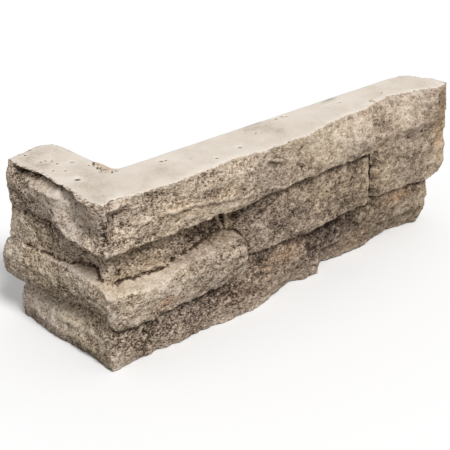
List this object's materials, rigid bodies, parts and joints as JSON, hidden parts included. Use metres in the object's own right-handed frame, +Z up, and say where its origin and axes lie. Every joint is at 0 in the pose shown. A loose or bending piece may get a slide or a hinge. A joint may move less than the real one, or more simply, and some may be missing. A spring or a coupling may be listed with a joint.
{
  "type": "stone cladding corner piece",
  "caption": "L-shaped cast stone cladding corner with a flat back and a split face of stacked rough ledges that turns the corner.",
  "frame": {"origin": "the wall corner that the piece is set round, where the planes of its two back faces cross, at bed level", "axes": "+X along the long leg, +Y along the short leg, +Z up; the backs face +Y and +X and the split faces look along -Y and -X"},
  "size_m": [0.2919, 0.0968, 0.1],
  "materials": {
    "cast_stone": "rough split face, smooth moulded top and bed"
  },
  "bodies": {
    "root": {"corner_piece": "cast_stone"}
  },
  "joints": []
}
